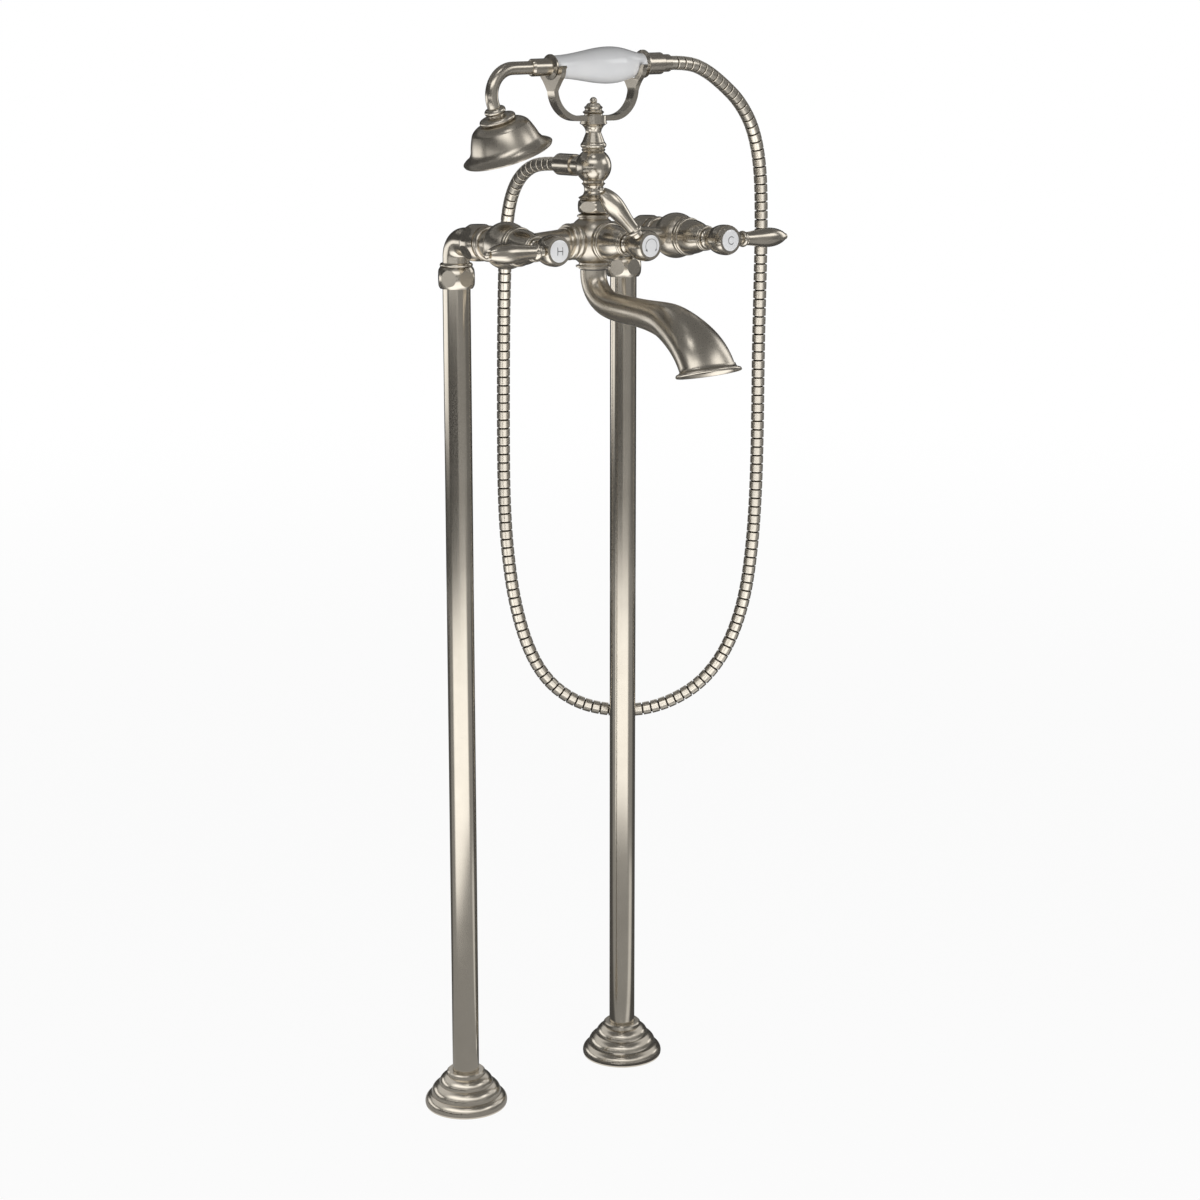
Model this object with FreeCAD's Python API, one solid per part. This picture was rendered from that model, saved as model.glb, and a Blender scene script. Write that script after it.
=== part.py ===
"""Free-standing tub filler: two supply legs, a lever mixer, a trumpet spout and a hand shower on a cradle.

Millimetres, +Z up. The origin is on the floor midway between the supply legs. +X runs from the hot leg to
the cold leg, and the spout points to the front, along -Y. The turned pieces are drawn about their own Z
axis and then placed. On a valve, that axis starts at the leg and points to the front.
"""
import FreeCAD, Part
import math
import os

from FreeCAD import Placement, Rotation, Vector

# Whole object
leg_spacing = 203.2
body_height = 877.6
body_reach = 82.0

# Clearances: screwed or pressed together, slipping or turning, and the overrun of every cut
fit_gap = 0.05
slip_gap = 0.3
turn_gap = 0.15
overrun = 1.0

# Supply legs and the waterway
leg_radius = 13.35
leg_wall = 2.0
water_radius = 9.5

# Floor flanges under the escutcheons
flange_radius = 32.0
flange_thickness = 5.0
flange_hub_radius = 17.6
flange_hub_height = 24.0
flange_bolt_spacing = 52.0
flange_bolt_hole_radius = 3.2
inlet_radius = 10.3
inlet_depth = 12.0

# Floor escutcheons: radius shares run from the pipe hole to the rim, height shares from floor to top
escutcheon_radius = 41.6
escutcheon_height = 36.5
escutcheon_outline_shares = (
    (0.985, 0.0), (1.0, 0.05),
    (0.945, 0.225, 0.80, 0.30), (0.775, 0.31),
    (0.714, 0.493, 0.524, 0.60), (0.49, 0.61),
    (0.42, 0.767, 0.227, 0.863), (0.20, 0.87),
    (0.20, 0.967), (0.156, 1.0),
)
escutcheon_hollow_shares = (
    (0.17, 0.78), (0.36, 0.66), (0.42, 0.56), (0.64, 0.40), (0.69, 0.26), (0.915, 0.11), (0.925, 0.0),
)
o_ring_radius = 1.05
o_ring_height_share = 0.88

# Union nuts, with a lip that draws a pipe collar and a washer against a threaded spigot
nut_flats = 34.0
nut_crown_radius = 18.7
nut_end_radius = 15.7
nut_length = 20.3
nut_lip = 5.0
collar_radius = 14.1
collar_thickness = 2.0
washer_thickness = 3.0
thread_radius = 14.2
leg_nut_drop = 45.6
arm_nut_start = 27.0

# Elbows from the legs to the valves
elbow_radius = 12.9
elbow_bend = 15.5
elbow_bead_radius = 15.8
elbow_bead_length = 4.0

# Valve bodies: a threaded tail, two beads, a waist, a ball and a rim that carries the bonnet
bulb_radius = 22.1
valve_face_reach = 16.0
valve_rim_radius = 17.4
valve_bead_radius = 16.9
valve_waist_radius = 13.6
valve_tail_shares = (0.26, 0.56, 0.78)
arm_small_radius = 7.4
arm_large_radius = 12.4
arm_spigot_radius = 10.5
arm_spigot_length = 15.0
arm_bore_radius = 5.5

# Bonnets: radius shares of the bonnet radius, length shares of the bonnet length
bonnet_radius = 18.5
bonnet_length = 32.0
bonnet_thread_radius = 13.5
bonnet_thread_length = 9.0
bonnet_mouth_radius = 9.9
bonnet_mouth_depth = 4.5
bonnet_stem_bore = 7.0
bonnet_outline_shares = (
    (0.93, 0.0), (1.0, 0.042, 0.935, 0.085),
    (0.93, 0.10), (0.985, 0.142, 0.915, 0.185),
    (0.80, 0.55, 0.565, 0.84),
    (0.665, 0.88, 0.60, 0.92), (0.645, 0.96, 0.57, 1.0),
)

# Quarter-turn cartridges behind the bonnets
cartridge_radius = 11.0
cartridge_back = 8.0
cartridge_front = 9.0
cartridge_plate = 3.0
cartridge_chamber_radius = 8.2
cartridge_chamber_length = 14.0
cartridge_window_radius = 4.5
cartridge_port_radius = 2.6
cartridge_port_offset = 4.4
seal_thickness = 2.0
seal_bore_radius = 7.6
stem_radius = 4.0
stem_disc_thickness = 3.4

# Lever handles: hub radius and length shares, lever radius and length shares
hub_radius = 14.4
hub_length = 34.0
hub_sink = 1.0
hub_outline_shares = (
    (0.60, 0.0), (0.645, 0.05), (0.53, 0.13, 0.57, 0.22), (0.90, 0.47, 1.0, 0.76), (0.975, 0.90, 0.88, 1.0),
)
hub_socket_share = 0.53
hub_web_share = 0.65
hub_lever_share = 0.80
hub_cavity_radius = 6.0
disc_radius = 10.1
disc_thickness = 2.5
disc_dome = 1.4
screw_radius = 2.0
screw_length = 13.0
screw_head_radius = 4.2
screw_head_length = 3.0
lever_length = 78.0
lever_radius = 9.3
lever_root_radius = 4.2
lever_root_start = 7.7
lever_outline_shares = (
    (0.56, 0.0), (0.52, 0.055), (0.70, 0.065), (0.84, 0.10, 0.70, 0.135), (0.63, 0.145),
)
lever_grip_shares = ((0.68, 0.152), (0.78, 0.32), (0.96, 0.52), (1.0, 0.62), (0.88, 0.77), (0.50, 0.915))
lever_tip_shares = ((0.26, 0.915),)

# Manifold body: a ball with a collar on each arm, a rim for the diverter and necks for post and spout
manifold_radius = 25.0
diverter_face_reach = 21.0
diverter_rim_radius = 17.4
manifold_collar_radius = 17.3
manifold_collar_end = 36.0
manifold_collar_step_radius = 14.2
manifold_collar_shares = (0.0, 0.36, 0.40, 0.78)
manifold_neck_radius = 14.0
manifold_top = 26.3
manifold_top_flange_radius = 15.5
manifold_top_flange_height = 23.1
manifold_bottom = 26.6
manifold_bottom_flange_radius = 16.8
manifold_bottom_flange_height = 24.2
flange_edge = 1.5
riser_spigot_radius = 10.5
riser_spigot_length = 4.5

# Riser nut and post: radius shares are of the ball radius, and height shares of the foot and of the neck
riser_nut_flats = 28.0
riser_nut_crown_radius = 15.9
riser_nut_end_radius = 13.4
riser_nut_length = 11.5
riser_nut_lip = 3.0
riser_washer_thickness = 2.0
post_foot_radius = 8.5
post_bore_radius = 5.0
post_ball_radius = 17.0
post_ball_share = 0.438
post_height = 72.6
post_foot_shares = (
    (0.74, 0.012), (0.845, 0.146), (0.6, 0.279), (0.515, 0.566, 0.565, 0.76), (0.665, 0.861),
    (0.58, 0.938),
)
post_neck_waist_share = 0.60
post_neck_shares = (
    (0.67, 0.058), (0.6, 0.114), (0.72, 0.215, 0.635, 0.319), (0.43, 0.648),
    (0.5, 0.8, 0.755, 0.947), (0.755, 1.0),
)
post_stud_radius = 4.0
post_stud_length = 15.0
outlet_boss_radius = 9.0
outlet_boss_reach = 27.0

# Cradle: a disc on the post, two arms that curve up, and a fork for the hand shower on each
cradle_disc_radius = 12.3
cradle_disc_thickness = 6.3
cradle_arm_width = 11.0
cradle_arm_thickness = 5.0
cradle_arm_share = 0.5326
cradle_arm_sweep = 90
cradle_fork_x = 47.7
cradle_fork_width = 5.0
grip_fork_share = 0.752
# Half of a fork, in shares of the gap: from its stem out to the prong's tip and back round the gap
cradle_fork_shares = (
    (0.56, -1.55, 1.0, -0.98), (1.26, -0.64, 1.33, -0.26), (1.47, -0.10),
    (1.38, 0.0), (1.08, -0.06), (0.956, -0.292), (0.707, -0.707, 0.0, -1.0),
)

# Finial nut: radius shares of its flange, height shares from cradle to top
finial_radius = 10.3
finial_height = 17.0
finial_outline_shares = (
    (0.84, 0.0), (0.84, 0.08), (1.0, 0.18), (0.78, 0.29), (0.78, 0.36), (0.86, 0.45), (0.67, 0.54),
    (0.55, 0.64, 0.28, 0.68),
)

# Spout: shares of reach and of drop, turn from straight down, and shares of the growth from neck to mouth in
# width and in depth
spout_reach = 170.0
spout_drop = 82.4
spout_neck_radius = 12.6
spout_mouth_width = 30.0
spout_mouth_depth = 17.2
spout_wall = 2.2
spout_end_turn = 16.5
spout_station_shares = (
    (0.0, 0.0, 0.0, 0.0, 0.0), (0.002, 0.09, 5.0, 0.0, 0.0), (0.022, 0.20, 26.0, 0.0, 0.0),
    (0.078, 0.318, 54.0, 0.01, 0.02), (0.163, 0.388, 75.0, 0.02, 0.05), (0.253, 0.410, 85.0, 0.03, 0.10),
    (0.438, 0.433, 86.0, 0.06, 0.20), (0.618, 0.465, 79.0, 0.30, 0.75), (0.771, 0.564, 66.0, 0.62, 1.17),
    (0.897, 0.721, 51.0, 0.86, 1.28), (0.974, 0.900, 34.0, 0.97, 1.15), (1.0, 1.0, spout_end_turn, 1.0, 1.0),
)
spout_lip_flare = 5.0
spout_lip_length = 7.5
spout_lip_shares = ((0.0, 0.0), (0.12, 0.30), (0.45, 0.52), (0.90, 0.66), (1.0, 0.82), (0.88, 1.0))
spout_edge_flare = 3.8
spout_edge_shares = ((0.0, -0.2), (0.10, 0.3), (0.42, 0.7), (1.0, 1.0), (1.6, 1.2))
spout_spigot_radius = 9.6
spout_spigot_length = 15.0
spout_spigot_bore = 6.5
spout_gasket_thickness = 1.0

# Hand shower on the cradle: places are measured along its axis from the post, positive to the hose
handset_rise = 52.2
handset_tilt = 1.3
grip_front = -48.0
grip_rear = 57.0
grip_radius = 17.1
grip_outline_shares = (
    (0.61, 0.0), (0.665, 0.166), (0.805, 0.331), (0.94, 0.476), (1.0, 0.612), (0.96, 0.724), (0.805, 0.842),
    (0.66, 0.933), (0.60, 1.0),
)
neck_radius = 6.0
neck_wall = 1.3
neck_bend = 24.0
neck_turn = 109.0
neck_bend_start = -93.5
neck_drop = 3.0
neck_tail = 12.0
ferrule_flange_radius = 11.7
ferrule_flange_length = 4.5
ferrule_radius = 8.1
ferrule_length = 25.5
rear_flange_radius = 13.2
rear_flange_length = 4.2
rear_ferrule_radius = 10.3
rear_ferrule_length = 13.0
head_collar_radius = 9.9
head_collar_length = 7.8
bell_radius = 42.5
bell_length = 37.0
bell_wall = 2.0
bell_outline_shares = (
    (0.20, 0.0), (0.35, 0.015), (0.40, 0.085, 0.35, 0.155), (0.345, 0.17), (0.53, 0.206, 0.64, 0.315),
    (0.707, 0.49, 0.762, 0.676), (0.832, 0.83, 0.965, 0.935), (1.0, 0.965), (0.985, 1.0),
)
bell_hollow_shares = ((0.52, 0.34), (0.64, 0.50), (0.70, 0.70), (0.74, 0.80), (0.80, 0.89))
bell_seat_share = 0.93
plate_thickness = 2.4
nozzle_radius = 1.4
nozzle_height = 1.4
nozzle_tip_share = 0.67
nozzle_ring_counts = (1, 6, 12, 18, 24)
nozzle_ring_pitch = 7.4

# Hose, its two nuts and washers
hose_radius = 6.7
hose_groove_radius = 5.0
hose_bore_radius = 4.0
hose_rib_pitch = 9.0
hose_rib_shares = (0.0, 0.14, 0.78, 0.92)
hose_end_run = 25.0
hose_arc_share = 0.45
hose_nipple_radius = 7.8
hose_nipple_length = 9.0
hose_washer_thickness = 1.5
hose_nut_radius = 10.4
inlet_nut_length = 28.0
inlet_nut_end_radius = 7.2
outlet_nut_length = 20.0
outlet_nut_end_radius = 8.3
outlet_nut_step_share = 0.5
# Route of the hose between its two straight ends, from the end of the inlet nut: back and down behind the
# mixer, round, and up to the grip
hose_route = (
    (1.0, 49.9, -5.6), (4.0, 74.5, -20.5), (8.0, 93.2, -45.2), (12.5, 105.0, -81.2),
    (17.0, 114.8, -136.2), (20.5, 121.8, -214.2), (22.3, 125.3, -292.2), (23.2, 126.2, -347.2),
    (25.4, 124.9, -399.2), (31.2, 120.8, -457.2), (42.5, 112.4, -509.2), (58.9, 100.4, -544.7),
    (82.7, 83.0, -567.2), (110.0, 63.1, -576.2), (141.0, 40.4, -576.2), (168.7, 20.2, -564.7),
    (193.3, 2.2, -543.2), (213.0, -12.2, -507.2), (226.2, -21.8, -457.2), (232.0, -26.1, -399.2),
    (234.4, -27.9, -342.2), (235.0, -28.5, -277.2), (234.4, -28.8, -197.2), (234.7, -29.6, -132.2),
    (234.8, -30.5, -71.2), (231.2, -32.5, -11.2), (217.6, -36.5, 29.8), (194.0, -42.0, 56.8),
    (167.5, -47.5, 73.8), (140.5, -52.5, 88.0),
)

origin = Vector(0, 0, 0)
right = Vector(1, 0, 0)
back = Vector(0, 1, 0)
up = Vector(0, 0, 1)
leg_x = leg_spacing / 2
leg_nut_base = body_height - leg_nut_drop
valve_face = body_reach + valve_face_reach
diverter_face = body_reach + diverter_face_reach
riser_nut_base = body_height + manifold_top
post_base = riser_nut_base + riser_nut_length
post_ball_height = post_base + post_ball_share * post_height
cradle_seat = post_base + post_height
handset_height = cradle_seat + handset_rise
cradle_arm_radius = cradle_arm_share * handset_rise
sides = {"hot": -1, "cold": 1}
diverter_angle = 135
# Direction square to the plane in which most of the hose hangs
hose_side = Vector(0.59, 0.81, 0)


def flat_face(outline):
    """Face in the XZ plane. A step is (x, z), or an (x, z) through which an arc goes and the (x, z) where it
    ends."""
    start = Vector(outline[0][0], 0, outline[0][1])
    here = start
    edges = []
    for step in outline[1:]:
        there = Vector(step[-2], 0, step[-1])
        if len(step) == 4:
            edges.append(Part.Arc(here, Vector(step[0], 0, step[1]), there).toShape())
        else:
            edges.append(Part.makeLine(here, there))
        here = there
    if here.distanceToPoint(start) > 0:
        edges.append(Part.makeLine(here, start))
    return Part.Face(Part.Wire(edges))


def turned(outline):
    """Solid of revolution about Z of an outline whose steps are radius and height."""
    return flat_face(outline).revolve(origin, up, 360)


def scaled(shares, inner, outer, low, high):
    """Outline steps from shares of a radius range and of a height range."""
    def place(pair):
        return inner + pair[0] * (outer - inner), low + pair[1] * (high - low)
    return [sum((place(step[i:i + 2]) for i in range(0, len(step), 2)), ()) for step in shares]


def cap(radius, low, high):
    """Arc step from (radius, low) to the axis at high, on a sphere whose centre is on the axis."""
    rise = high - low
    sphere = (radius ** 2 + rise ** 2) / (2 * rise)
    centre = high - sphere
    half = math.atan2(radius, low - centre) / 2
    return sphere * math.sin(half), centre + sphere * math.cos(half), 0, high


def tube(outer, inner, low, high):
    return turned([(inner, low), (outer, low), (outer, high), (inner, high)])


def rod(radius, low, high):
    return Part.makeCylinder(radius, high - low, Vector(0, 0, low))


def cross_rod(radius, start, end, height):
    """Rod along X at a height on the Z axis."""
    return Part.makeCylinder(radius, end - start, Vector(start, 0, height), right)


def curve_through(points):
    """Smooth edge through (radius, height) points, in the plane that is turned about Z."""
    curve = Part.BSplineCurve()
    curve.interpolate([Vector(radius, 0, height) for radius, height in points])
    return curve.toShape()


def turned_edges(edges, outline):
    """Solid of revolution of a curved flank, closed by straight lines through the outline's points."""
    corners = [edges[-1].valueAt(edges[-1].LastParameter)]
    corners += [Vector(radius, 0, height) for radius, height in outline]
    corners.append(edges[0].valueAt(edges[0].FirstParameter))
    lines = [Part.makeLine(a, b) for a, b in zip(corners, corners[1:])]
    return Part.Face(Part.Wire(list(edges) + lines)).revolve(origin, up, 360)


def moved(shape, placement):
    shape = shape.copy()
    shape.Placement = placement.multiply(shape.Placement)
    return shape


def shifted(shape, x, y, z):
    return moved(shape, Placement(Vector(x, y, z), Rotation()))


def on_valve(shape, x):
    """From a valve's own axis to the object: Z to the front, Y up, starting at the leg plane."""
    return moved(shape, Placement(Vector(x, 0, body_height), Rotation(right, 90)))


def on_post(shape):
    return shifted(shape, 0, -body_reach, 0)


def on_handset(shape):
    """From the hand shower's own axis to the object: Z to the hose end, X down."""
    place = Placement(Vector(0, -body_reach, handset_height), Rotation(back, 90 - handset_tilt))
    return moved(shape, place)


def on_head(shape):
    """From the shower head's own axis, which starts a little below the neck's bend, to the object."""
    turn = math.radians(neck_turn)
    start = Vector(neck_bend * (1 - math.cos(turn)), 0, neck_bend_start - neck_bend * math.sin(turn))
    start += Vector(math.sin(turn), 0, -math.cos(turn)) * neck_drop
    return on_handset(moved(shape, Placement(start, Rotation(back, 180 - neck_turn))))


def ring_places(counts, pitch):
    """Centres on rings round the axis, one ring for each count."""
    places = []
    for ring, count in enumerate(counts):
        for i in range(count):
            angle = 2 * math.pi * i / count
            places.append((ring * pitch * math.cos(angle), ring * pitch * math.sin(angle)))
    return places


def group(shapes):
    return Part.makeCompound(shapes)


def hex_nut(flats, crown, end, length, bores):
    """Hexagon whose corners are turned to a barrel, with stepped bores of (radius, low, high)."""
    corner = flats / math.sqrt(3)
    turn = [math.radians(60 * i) for i in range(7)]
    outline = Part.makePolygon([Vector(corner * math.cos(a), corner * math.sin(a), 0) for a in turn])
    prism = Part.Face(outline).extrude(Vector(0, 0, length))
    barrel = turned([(0, 0), (end, 0), (crown, length / 2, end, length), (0, length)])
    nut = prism.common(barrel)
    for radius, low, high in bores:
        nut = nut.cut(rod(radius, low, high))
    return nut


def union_nut(pipe_radius):
    lip = (pipe_radius + fit_gap, -overrun, nut_length)
    thread = (thread_radius + fit_gap, nut_lip, nut_length + overrun)
    return hex_nut(nut_flats, nut_crown_radius, nut_end_radius, nut_length, [lip, thread])


def union_washer():
    low = nut_lip + collar_thickness
    return tube(collar_radius, water_radius, low, low + washer_thickness)


def union_spigot_start():
    return nut_lip + collar_thickness + washer_thickness


def floor_flange():
    plate = rod(flange_radius, 0, flange_thickness)
    for side in (-1, 1):
        hole = rod(flange_bolt_hole_radius, -overrun, flange_thickness + overrun)
        plate = plate.cut(shifted(hole, 0, side * flange_bolt_spacing / 2, 0))
    flange = plate.fuse(rod(flange_hub_radius, 0, flange_hub_height))
    flange = flange.cut(rod(inlet_radius, -overrun, inlet_depth + overrun))
    return flange.cut(rod(leg_radius + fit_gap, inlet_depth, flange_hub_height + overrun))


def escutcheon():
    hole = leg_radius + slip_gap
    seat = o_ring_height_share * escutcheon_height
    groove = leg_radius + 2 * o_ring_radius + 2 * fit_gap
    half = o_ring_radius + slip_gap
    outside = scaled(escutcheon_outline_shares, hole, escutcheon_radius, 0, escutcheon_height)
    inside = scaled(escutcheon_hollow_shares, hole, escutcheon_radius, 0, escutcheon_height)
    bore = [(hole, escutcheon_height), (hole, seat + half), (groove, seat + half), (groove, seat - half)]
    bore += [(hole, seat - half), (hole, inside[0][1])]
    return turned(outside + bore + inside)


def o_ring():
    height = o_ring_height_share * escutcheon_height
    return Part.makeTorus(leg_radius + o_ring_radius + fit_gap, o_ring_radius, Vector(0, 0, height))


def supply_leg():
    top = leg_nut_base + nut_lip
    bore = leg_radius - leg_wall
    end = top + collar_thickness
    return turned([(bore, inlet_depth), (leg_radius, inlet_depth), (leg_radius, top), (collar_radius, top),
                   (collar_radius, end), (bore, end)])


def elbow():
    """Spigot and bead on the leg nut, a quarter bend, and a collar that the arm nut holds."""
    tail = leg_nut_base + union_spigot_start()
    nut_top = leg_nut_base + nut_length
    bend_low = body_height - elbow_bend
    bead_top = nut_top + elbow_bead_length
    shape = turned([(0, tail), (thread_radius, tail), (thread_radius, nut_top),
                    (elbow_bead_radius, (nut_top + bead_top) / 2, thread_radius, bead_top),
                    (elbow_radius, bead_top), (elbow_radius, bend_low), (0, bend_low)])
    collar = arm_nut_start + nut_lip
    collar_end = collar + collar_thickness
    arm = turned([(0, elbow_bend), (elbow_radius, elbow_bend), (elbow_radius, collar),
                  (collar_radius, collar), (collar_radius, collar_end), (0, collar_end)])

    def bend(radius):
        section = Part.Face(Part.Wire(Part.makeCircle(radius, Vector(0, 0, bend_low), up)))
        return section.revolve(Vector(0, -elbow_bend, bend_low), right, 90)
    shape = shape.fuse([bend(elbow_radius), on_valve(arm, 0)])
    water = rod(water_radius, tail - overrun, bend_low)
    ahead = on_valve(rod(water_radius, elbow_bend, collar + collar_thickness + overrun), 0)
    return shape.cut(water.fuse([bend(water_radius), ahead])).removeSplitter()


def cartridge_start():
    return body_reach - cartridge_back


def bonnet_bores(face):
    """What a bonnet, a cartridge and its seal take out of the body that holds them."""
    cavity = rod(cartridge_radius + fit_gap, cartridge_start() - seal_thickness, face + overrun)
    thread = rod(bonnet_thread_radius + fit_gap, face - bonnet_thread_length - fit_gap, face + overrun)
    return cavity.fuse(thread)


def valve_body(side):
    """Tail, ball and rim on the valve axis, and the tapered arm that runs to the manifold."""
    tail = arm_nut_start + union_spigot_start()
    nut_end = arm_nut_start + nut_length
    ball_start = body_reach - math.sqrt(bulb_radius ** 2 - valve_waist_radius ** 2)
    rim_start = body_reach + math.sqrt(bulb_radius ** 2 - valve_rim_radius ** 2)
    first, second, waist = [nut_end + share * (ball_start - nut_end) for share in valve_tail_shares]
    shape = turned([
        (0, tail), (thread_radius, tail), (thread_radius, nut_end),
        ((thread_radius + valve_bead_radius) / 2, (nut_end + first) / 2, thread_radius, first),
        (valve_bead_radius, (first + second) / 2, thread_radius, second),
        (valve_waist_radius, waist), (valve_waist_radius, ball_start),
        (bulb_radius, body_reach, valve_rim_radius, rim_start),
        (valve_rim_radius, valve_face), (0, valve_face),
    ])
    reach = leg_x - manifold_collar_end
    inward = right * -side
    start = Vector(0, 0, body_reach)
    arm = Part.makeCone(arm_small_radius, arm_large_radius, reach, start, inward)
    spigot = Part.makeCylinder(arm_spigot_radius, arm_spigot_length, start + inward * reach, inward)
    shape = shape.fuse([arm, spigot])
    water = rod(water_radius, tail - overrun, ball_start)
    port = rod(seal_bore_radius, ball_start - overrun, body_reach)
    bore = Part.makeCylinder(arm_bore_radius, reach + arm_spigot_length + overrun, start, inward)
    return shape.cut(water.fuse([port, bore, bonnet_bores(valve_face)])).removeSplitter()


def bonnet(face):
    """Domed cover with two beads at each end, threaded into the body, open at the front for the stem."""
    outside = scaled(bonnet_outline_shares, 0, bonnet_radius, face, face + bonnet_length)
    bore = cartridge_radius + fit_gap
    stop = face + cartridge_front
    mouth = face + bonnet_length - bonnet_mouth_depth
    tail = face - bonnet_thread_length
    inside = [(bonnet_mouth_radius, face + bonnet_length), (bonnet_mouth_radius, mouth),
              (bonnet_stem_bore, mouth), (bonnet_stem_bore, stop), (bore, stop), (bore, tail),
              (bonnet_thread_radius, tail), (bonnet_thread_radius, face)]
    return turned(outside + inside)


def port_pair(low, high, crosswise):
    """Two water ports, one each side of the axis."""
    ports = []
    for side in (-1, 1):
        offset = side * cartridge_port_offset
        x, y = (0, offset) if crosswise else (offset, 0)
        ports.append(shifted(rod(cartridge_port_radius, low - overrun, high + overrun), x, y, 0))
    return ports


def cartridge(face, windows):
    """Housing with a ported base plate, a chamber for the turning disc and windows in its wall."""
    start = cartridge_start()
    plate = start + cartridge_plate
    chamber = start + cartridge_chamber_length
    shape = rod(cartridge_radius, start, face + cartridge_front)
    cuts = [rod(cartridge_chamber_radius, plate, chamber)]
    cuts += [rod(stem_radius + turn_gap, plate, face + bonnet_length)]
    cuts += port_pair(start, plate, False)
    beyond = cartridge_radius + overrun
    across = cross_rod(cartridge_window_radius, -beyond, beyond, body_reach)
    for i in range(windows):
        cuts.append(moved(across, Placement(origin, Rotation(up, 90 * i))))
    return shape.cut(cuts)


def cartridge_seal():
    return tube(cartridge_radius, seal_bore_radius, cartridge_start() - seal_thickness, cartridge_start())


def hub_start(face):
    return face + bonnet_length - hub_sink


def socket_end(face):
    return hub_start(face) + hub_socket_share * hub_length


def web_end(face):
    return hub_start(face) + hub_web_share * hub_length


def stem(face):
    """Ported disc that turns on the base plate, and the shaft that the handle is screwed to."""
    low = cartridge_start() + cartridge_plate + turn_gap
    disc = rod(cartridge_chamber_radius - turn_gap, low, low + stem_disc_thickness)
    disc = disc.cut(port_pair(low, low + stem_disc_thickness, True))
    shaft = rod(stem_radius, low + stem_disc_thickness, socket_end(face))
    screw = rod(screw_radius + fit_gap, web_end(face) - screw_length - fit_gap, socket_end(face) + overrun)
    return disc.fuse(shaft).cut(screw).removeSplitter()


def handle_hub(face, angle):
    """Ball-shaped hub with sockets for stem, screw, disc and lever."""
    start = hub_start(face)
    end = start + hub_length
    outside = scaled(hub_outline_shares, 0, hub_radius, start, end)
    shape = turned([(0, start)] + outside + [(0, end)])
    cuts = [rod(stem_radius + fit_gap, start - overrun, socket_end(face)),
            rod(screw_radius + fit_gap, start, end),
            rod(hub_cavity_radius, web_end(face), end),
            rod(disc_radius + fit_gap, end - disc_thickness, end + overrun),
            on_hub(rod(lever_root_radius + fit_gap, lever_root_start, lever_length), face, angle)]
    return shape.cut(cuts)


def on_hub(shape, face, angle):
    """From a lever's own axis, which starts on the valve axis, to the valve. Angle 0 points along +X."""
    height = hub_start(face) + hub_lever_share * hub_length
    aim = Rotation(up, angle).multiply(Rotation(back, 90))
    return moved(shape, Placement(Vector(0, 0, height), aim))


def hub_skin_radius():
    """Distance from the valve axis at which the lever's collar clears the hub."""
    return hub_radius + slip_gap


def lever(face, angle):
    """Screwed root, collar bead, baluster grip and a small ball at the tip."""
    start = hub_skin_radius()
    base = scaled(lever_outline_shares, 0, lever_radius, start, lever_length)
    grip = scaled(lever_grip_shares, 0, lever_radius, start, lever_length)
    tip = scaled(lever_tip_shares, 0, lever_radius, start, lever_length)
    root = turned([(0, lever_root_start), (lever_root_radius, lever_root_start), (lever_root_radius, start)]
                  + base + [grip[0], (0, grip[0][1])])
    body = turned_edges([curve_through(grip)], [(0, grip[-1][1]), (0, grip[0][1])])
    ball = turned([(0, grip[-1][1]), grip[-1]] + tip + [cap(tip[-1][0], tip[-1][1], lever_length)])
    return on_hub(root.fuse([body, ball]).removeSplitter(), face, angle)


def index_disc(face):
    end = hub_start(face) + hub_length
    low = end - disc_thickness
    return turned([(0, low), (disc_radius, low), (disc_radius, end), cap(disc_radius, end, end + disc_dome)])


def handle_screw(face):
    seat = web_end(face)
    head = rod(screw_head_radius, seat, seat + screw_head_length)
    return rod(screw_radius, seat - screw_length, seat).fuse(head)


def edged_flange(radius, root, middle):
    """Outline steps of a collar that comes to a narrow edge."""
    half = flange_edge / 2
    return [(root, middle - flange_edge), (radius, middle - half), (radius, middle + half),
            (root, middle + flange_edge)]


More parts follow.
